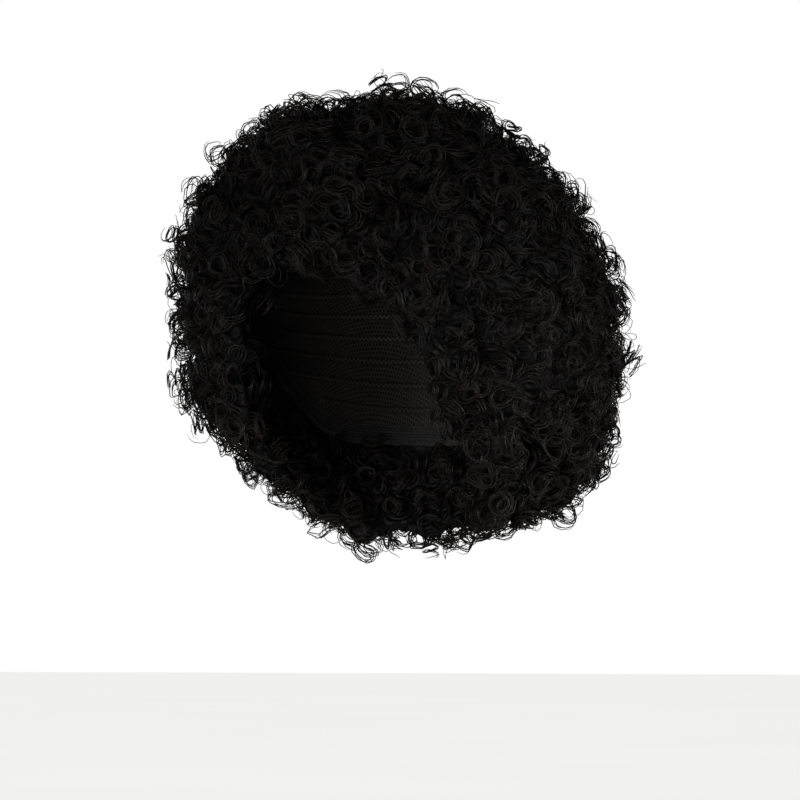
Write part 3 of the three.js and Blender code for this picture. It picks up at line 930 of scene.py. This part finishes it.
# %% [markdown]
# The hair comes to the cap on wefts, long strips of fibre folded over and stitched along their
# heads, and each weft is sewn to the net in a row that runs round the head from one side to the
# other. Inside the cap only the sewn heads show, as narrow tapes. Each tape is a loft between
# small rounded sections that stand on the inside of the net, and it stops short of the rim.
# %% Weft tapes
TAPE_WIDTH = 4.5 * MM
TAPE_THICKNESS = 0.8 * MM
FIRST_TAPE = math.radians(14)  # from the crown down to the first row
TAPE_STEP = math.radians(9)  # from one row to the next
TAPE_ROWS = 12
TAPE_TURN = math.radians(3)
TAPE_FALLS = [FIRST_TAPE + TAPE_STEP * k for k in range(TAPE_ROWS)]
RIM_CLEAR = math.radians(10)


def inside_point(fall, turn, inwards=0.0):
    """A point on the inside of the cap, or a little further in."""
    return ROOT + direction(fall, turn) * (cap_inside(fall, turn) + CAP_GAP - inwards)


def tape_section(fall, turn):
    """A rounded section of tape, standing on the inside of the cap."""
    half = TAPE_WIDTH / 2 / cap_inside(fall, turn)
    shape = [(-1, -0.1), (1, -0.1), (1, 0.6), (0.7, 1), (-0.7, 1), (-1, 0.6)]
    return [inside_point(fall + half * across, turn, TAPE_THICKNESS * up) for across, up in shape]


def tape_runs(fall):
    """The runs of azimuths where a row at this angle down lies on the cap."""
    turns = [math.pi + TAPE_TURN * k for k in range(round(2 * math.pi / TAPE_TURN))]
    on = [turn for turn in turns if fall < cap_edge(turn) - RIM_CLEAR]
    if len(on) == len(turns):
        return [(on, True)]
    left = [turn for turn in on if turn < 2 * math.pi]
    right = [turn - 2 * math.pi for turn in on if turn >= 2 * math.pi]
    return [(right + left, False)] if left or right else []


def joined(name, parts, material):
    """Several mesh objects made into one, with one material."""
    work = bmesh.new()
    for part in parts:
        work.from_mesh(part.data)
        bpy.data.objects.remove(part)
    made = mesh_object(name, [], [], material)
    work.to_mesh(made.data)
    work.free()
    return made


tapes = []
tape_paths = []
for row, fall in enumerate(TAPE_FALLS):
    for turns, whole in tape_runs(fall):
        columns = [tape_section(fall, turn) for turn in turns]
        tapes.append(loft(f"weft_row_{row}", columns, whole, True))
        tape_paths.append([(fall, turn) for turn in turns])
print("rows of weft:", len(tapes))

# %% [markdown]
# ## The elastic band
# A band of woven elastic is sewn inside the rim, so that the cap grips the head. Such elastic is
# ribbed along its length, because its rubber threads lie side by side under a woven cover. The
# ribs are large enough to be real shape here: the band's section is a wall whose inner face rises
# and falls once for each rib, lofted all the way round the rim.
# %% Elastic band
RIBS = 7
POINTS_PER_RIB = 4
RIB_HEIGHT = 0.45 * MM
BAND_TURNS = 240
BAND_INSIDE = 0.8  # the share of the band's wall at which its ribs stand
BAND_SHARES = (0.15, 0.3, 0.5, 0.7, 0.85)  # where across the band its faces are measured


def band_walls(turn):
    """The band's top and foot, and how far its two faces stand out near each."""
    top, foot = band_top(turn), band_foot(turn)
    met = [wall_along(band_tree, top + (foot - top) * share, turn) for share in BAND_SHARES]
    met = [wall for wall in met if wall[0] is not None] or [(math.nan, math.nan)]
    return [top, foot, *met[0], *met[-1]]


def band_reader():
    """A function that gives a point of the band: across from 0 to 1, and in from its outer face."""
    readings = np.array([band_walls(turn) for turn in TURNS])
    for line in readings.T:
        known = np.flatnonzero(~np.isnan(line))
        line[:] = np.interp(np.arange(len(line)), known, line[known], period=len(line))
    window = np.hanning(2 * RIM_BLUR + 3)[1:-1]
    ring = np.vstack([readings[-RIM_BLUR:], readings, readings[:RIM_BLUR]])
    made = np.stack([np.convolve(line, window / window.sum(), mode="valid") for line in ring.T])

    def point(across, turn, share, proud=0.0):
        column = (turn / TURN_STEP) % len(TURNS)
        j = int(column)
        b = column - j
        blend = made[:, j] * (1 - b) + made[:, (j + 1) % len(TURNS)] * b
        top, foot, in_top, out_top, in_foot, out_foot = blend
        inner = in_top + (in_foot - in_top) * across
        outer = out_top + (out_foot - out_top) * across
        reach = outer + (inner - outer) * share - proud
        return ROOT + direction(top + (foot - top) * across, turn) * reach

    return point


band_point = band_reader()


def band_column(turn):
    """The band's section at an azimuth: a flat outer face and a ribbed inner one."""
    steps = RIBS * POINTS_PER_RIB
    outside = [band_point(k / RIBS, turn, 0) for k in range(RIBS + 1)]
    waves = [abs(math.sin(math.pi * RIBS * k / steps)) - 0.5 for k in range(steps + 1)]
    inside = [band_point(k / steps, turn, BAND_INSIDE, RIB_HEIGHT * waves[k]) for k in range(steps + 1)]
    return outside + inside[::-1]


band_columns = [band_column(2 * math.pi * k / BAND_TURNS) for k in range(BAND_TURNS)]
band_piece = loft("ribbed_elastic_band", band_columns, True, True)
band_middle = [band_point(0.5, turn, 0.5) for turn in TURNS]
band_width = sum((band_point(0, t, 0.5) - band_point(1, t, 0.5)).length for t in TURNS) / len(TURNS)

# %% [markdown]
# ## Stitches
# A machine leaves the same zigzag all along a seam, which is what Geometry Nodes are for. The
# ground is a mesh of bare points along the seams, each with the direction of the seam and of the
# cloth's face stored on it. The tree turns one short rounded stitch to lie along the seam at every
# point, leaning one way and then the other.
# %% Stitches
STITCH_PITCH = 3.0 * MM
STITCH_LENGTH = 3.4 * MM
THREAD_RADIUS = 0.22 * MM
STITCH_LEAN = math.radians(48)
SEAM_SHARES = (0.5 / RIBS, 1 - 0.5 / RIBS)  # along the first and the last rib


def seam_ground(name, seams):
    """Bare points along the seams. A seam is a list of points with the way that each faces."""
    points, along, facing = [], [], []
    for seam in seams:
        walked = 0.0
        for (a, face), (b, _) in zip(seam, seam[1:]):
            step = (b - a).length
            while walked < step:
                points.append(a.lerp(b, walked / step))
                along.append((b - a).normalized())
                facing.append(face)
                walked += STITCH_PITCH / 2
            walked -= step
    made = mesh_object(name, points, [])
    for key, rows in (("along", along), ("facing", facing)):
        layer = made.data.attributes.new(key, "FLOAT_VECTOR", "POINT")
        layer.data.foreach_set("vector", [c for row in rows for c in row])
    return made


def make_stitch_tree(thread):
    """The Geometry Nodes tree that lays one zigzag stitch at every point of a seam."""
    tree = bpy.data.node_groups.new("zigzag_stitches", "GeometryNodeTree")
    tree.interface.new_socket("Seam", in_out="INPUT", socket_type="NodeSocketGeometry")
    for name in ("Length", "Radius", "Lean"):
        tree.interface.new_socket(name, in_out="INPUT", socket_type="NodeSocketFloat")
    tree.interface.new_socket("Stitches", in_out="OUTPUT", socket_type="NodeSocketGeometry")
    given = add_node(tree, "NodeGroupInput").outputs
    body = add_node(
        tree, "GeometryNodeMeshCylinder", Vertices=3, Radius=given["Radius"], Depth=given["Length"]
    )
    laid = add_node(
        tree, "GeometryNodeTransform", Geometry=body.outputs["Mesh"], Rotation=(0, math.pi / 2, 0)
    )
    points = add_node(tree, "GeometryNodeMeshToPoints", Mesh=given["Seam"], Radius=0.001)
    facing = add_node(tree, "GeometryNodeInputNamedAttribute", {"data_type": "FLOAT_VECTOR"}, Name="facing")
    along = add_node(tree, "GeometryNodeInputNamedAttribute", {"data_type": "FLOAT_VECTOR"}, Name="along")
    face_up = add_node(
        tree, "FunctionNodeAlignRotationToVector", {"axis": "Z"}, Vector=facing.outputs["Attribute"]
    )
    on_line = add_node(
        tree, "FunctionNodeAlignRotationToVector", {"axis": "X", "pivot_axis": "Z"},
        Rotation=face_up.outputs[0], Vector=along.outputs["Attribute"],
    )
    number = add_node(tree, "GeometryNodeInputIndex").outputs[0]
    odd = add_node(tree, "ShaderNodeMath", {"operation": "MODULO"}, i0=number, i1=2.0)
    side = add_node(
        tree, "ShaderNodeMath", {"operation": "MULTIPLY_ADD"}, i0=odd.outputs[0], i1=2.0, i2=-1.0
    )
    lean = add_node(tree, "ShaderNodeMath", {"operation": "MULTIPLY"}, i0=side.outputs[0], i1=given["Lean"])
    spin = add_node(tree, "ShaderNodeCombineXYZ", Z=lean.outputs[0])
    twist = add_node(tree, "FunctionNodeEulerToRotation", Euler=spin.outputs[0])
    turned = add_node(
        tree, "FunctionNodeRotateRotation", {"rotation_space": "LOCAL"},
        Rotation=on_line.outputs[0], Rotate_By=twist.outputs[0],
    )
    sewn = add_node(
        tree, "GeometryNodeInstanceOnPoints", Points=points.outputs[0],
        Instance=laid.outputs[0], Rotation=turned.outputs[0],
    )
    real = add_node(tree, "GeometryNodeRealizeInstances", Geometry=sewn.outputs[0])
    finish = add_node(tree, "GeometryNodeSetMaterial", Geometry=real.outputs[0], Material=thread)
    add_node(tree, "NodeGroupOutput", Stitches=finish.outputs[0])
    return tree


THREAD_TWIST = 0.5 * MM  # from one twist of the yarns to the next


def make_thread():
    """Spun polyester sewing thread: black, softly shiny, twisted from finer yarns."""
    material, tree, shader = new_material("polyester_sewing_thread")
    place = add_node(tree, "ShaderNodeTexCoord").outputs["Object"]
    twist = add_node(tree, "ShaderNodeTexNoise", Vector=place, Scale=1 / THREAD_TWIST, Detail=1.0)
    ramp = add_node(tree, "ShaderNodeValToRGB", Fac=twist.outputs["Fac"])
    ramp.color_ramp.elements[0].color = linear("#2b2926")
    ramp.color_ramp.elements[1].color = linear("#5a5550")
    tree.links.new(ramp.outputs["Color"], shader.inputs["Base Color"])
    shader.inputs["Roughness"].default_value = 0.5
    return material


def facing_in(point):
    """The way the inside of the cap faces at a point."""
    return (ROOT - point).normalized()


thread = make_thread()
stitch_tree = make_stitch_tree(thread)
tape_seams = []
for path in tape_paths:
    line = [inside_point(fall, turn, TAPE_THICKNESS + THREAD_RADIUS / 2) for fall, turn in path]
    tape_seams.append([(p, facing_in(p)) for p in line])
band_seams = []
for across in SEAM_SHARES:
    turns = [2 * math.pi * k / BAND_TURNS for k in range(BAND_TURNS + 1)]
    line = [band_point(across, turn, BAND_INSIDE, RIB_HEIGHT) for turn in turns]
    band_seams.append([(p, facing_in(p)) for p in line])
seams = {}
for name, lines in (("weft_stitches", tape_seams), ("band_stitches", band_seams)):
    ground = seam_ground(f"{name}_ground", lines)
    seams[name] = grown(
        name, ground, stitch_tree, Length=STITCH_LENGTH, Radius=THREAD_RADIUS, Lean=STITCH_LEAN
    )
    bpy.data.objects.remove(ground)
    print(f"{name}: {triangles(seams[name])} triangles")

# %% [markdown]
# The elastic is covered with dull textured yarn that crosses the ribs, and the tape is a tight
# plain weave. Both are drawn by waves that go round the head, one for each yarn, so each yarn
# runs down the cloth from edge to edge. The wave, with a noise for the fuzz, gives the yarns'
# height and also their colour: a painted sheen on each yarn's back and painted shade between yarns.
# The azimuth comes from Object coordinates, which is enough here, because band and tapes both
# run round the same axis.
# %% Elastic and tape materials
YARN_PITCH = 1.1 * MM  # the real yarn is about half this, too fine to show
YARN_HEIGHT = 0.3 * MM
YARN_FUZZ = 0.8 * MM
YARN_SHARE = 0.35  # of the height that the yarns give, beside the fuzz


def make_woven(name, dark, light, pitch, roughness):
    """A woven black narrow fabric: yarns side by side, with a painted sheen on their backs and painted
    shade between them.
    """
    material, tree, shader = new_material(name)
    place = add_node(tree, "ShaderNodeTexCoord").outputs["Object"]
    turn = add_node(tree, "ShaderNodeSeparateXYZ", Vector=place)
    depth = add_node(tree, "ShaderNodeMath", {"operation": "MULTIPLY"}, i0=turn.outputs["Y"], i1=-1.0)
    round_head = add_node(
        tree, "ShaderNodeMath", {"operation": "ARCTAN2"}, i0=turn.outputs["X"], i1=depth.outputs[0]
    )
    yarns = add_node(
        tree, "ShaderNodeMath", {"operation": "MULTIPLY"},
        i0=round_head.outputs[0], i1=round(2 * math.pi * SKULL / pitch),
    )
    wave = add_node(tree, "ShaderNodeMath", {"operation": "SINE"}, i0=yarns.outputs[0])
    fuzz = add_node(tree, "ShaderNodeTexNoise", Vector=place, Scale=1 / YARN_FUZZ, Detail=2.0)
    height = add_node(
        tree, "ShaderNodeMath", {"operation": "MULTIPLY_ADD"},
        i0=wave.outputs[0], i1=YARN_SHARE, i2=fuzz.outputs["Fac"],
    )
    # painted sheen on the yarns' backs and painted shade between them, mixed with the fuzz's random tone
    ramp = add_node(tree, "ShaderNodeValToRGB", Fac=height.outputs[0])
    ramp.color_ramp.elements[0].color = linear(dark)
    ramp.color_ramp.elements[1].color = linear(light)
    bump = add_node(tree, "ShaderNodeBump", Strength=0.8, Distance=YARN_HEIGHT, Height=height.outputs[0])
    tree.links.new(ramp.outputs["Color"], shader.inputs["Base Color"])
    tree.links.new(bump.outputs["Normal"], shader.inputs["Normal"])
    shader.inputs["Roughness"].default_value = roughness
    shader.inputs["Specular IOR Level"].default_value = 0.3
    return material


elastic = make_woven("woven_ribbed_elastic", "#101010", "#383738", YARN_PITCH, 0.8)
tape_cloth = make_woven("plain_weave_weft_tape", "#12100f", "#35302c", YARN_PITCH, 0.85)
band_piece.data.materials.append(elastic)
tape_piece = joined("weft_tapes", tapes, tape_cloth)
print("narrow fabrics finished")

for piece in (cap_piece, tape_piece, seams["weft_stitches"]):
    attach(piece, "root")
    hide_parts("cap")
for piece in (band_piece, seams["band_stitches"]):
    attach(piece, "root")
    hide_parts("cap_band")
for name, piece in under_hair.items():
    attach(piece, "root")
    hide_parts(f"hair_{name}")
for piece, name in locks.values():
    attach(piece, "root")
    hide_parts(f"hair_{name}")
